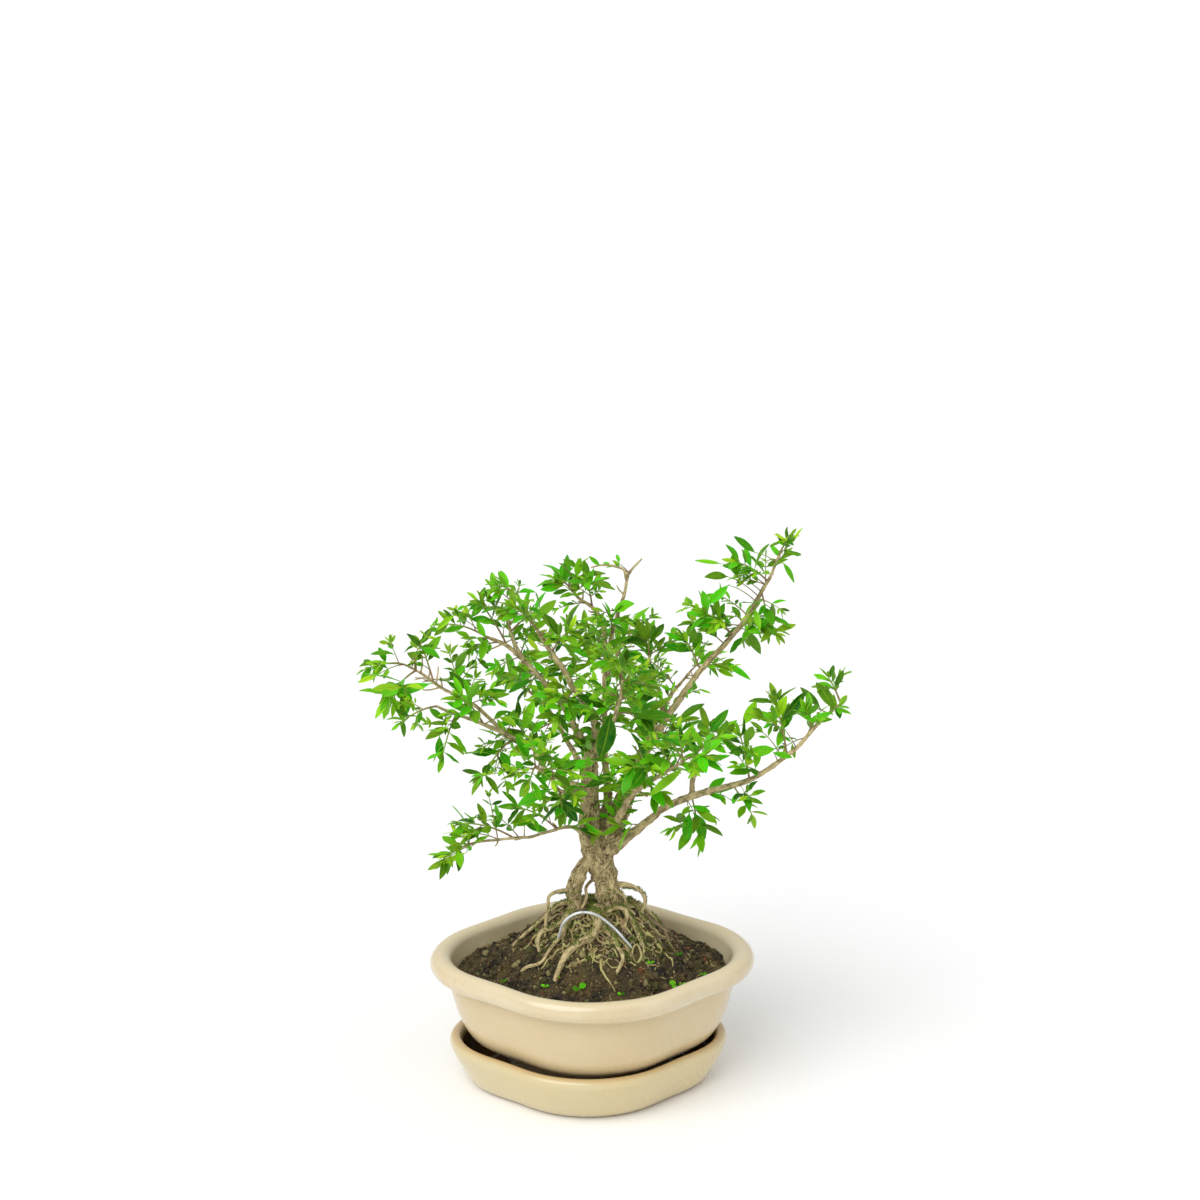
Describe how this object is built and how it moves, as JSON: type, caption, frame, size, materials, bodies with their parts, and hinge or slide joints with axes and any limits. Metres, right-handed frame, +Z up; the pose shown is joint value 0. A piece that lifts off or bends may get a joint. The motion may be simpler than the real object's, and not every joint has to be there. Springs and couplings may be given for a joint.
{
  "type": "serissa bonsai",
  "caption": "Small serissa tree with an arched aerial root and leafy sprays, mounded soil, in a lobed oval glazed pot on a matching drip tray.",
  "frame": {"origin": "on the surface it stands on, below the pot's middle; the drip tray's middle is 2 mm to the left of it", "axes": "+Z up, -Y towards the viewer (front), +X to the viewer's right along the pot's long side"},
  "size_m": [0.2494, 0.186, 0.2979],
  "materials": {
    "pot_glaze": "glossy cream glaze",
    "tray_glaze": "glossy cream glaze, slightly greener",
    "soil": "dark crumbly soil",
    "bark": "rough tan-grey bark",
    "wire": "dull pale coated wire",
    "foliage": "glossy green leaves"
  },
  "bodies": {
    "root": {"drip_tray": "tray_glaze", "pot": "pot_glaze", "soil": "soil", "spray_01": "foliage", "spray_02": "foliage", "spray_03": "foliage", "spray_04": "foliage", "spray_05": "foliage", "spray_06": "foliage", "spray_07": "foliage", "spray_08": "foliage", "spray_09": "foliage", "spray_10": "foliage", "spray_11": "foliage", "spray_12": "foliage", "spray_13": "foliage", "spray_14": "foliage", "spray_15": "foliage", "spray_16": "foliage", "spray_17": "foliage", "spray_18": "foliage", "spray_19": "foliage", "spray_20": "foliage", "spray_21": "foliage", "spray_22": "foliage", "spray_23": "foliage", "spray_24": "foliage", "spray_25": "foliage", "spray_26": "foliage", "spray_27": "foliage", "spray_28": "foliage", "spray_29": "foliage", "spray_30": "foliage", "spray_31": "foliage", "spray_32": "foliage", "spray_33": "foliage", "spray_34": "foliage", "spray_35": "foliage", "spray_36": "foliage", "spray_37": "foliage", "spray_38": "foliage", "spray_39": "foliage", "spray_40": "foliage", "spray_41": "foliage", "spray_42": "foliage", "spray_43": "foliage", "spray_44": "foliage", "spray_45": "foliage", "spray_46": "foliage", "spray_47": "foliage", "spray_48": "foliage", "spray_49": "foliage", "spray_50": "foliage", "tie_wire": "wire", "tree_wood": "bark"}
  },
  "joints": []
}
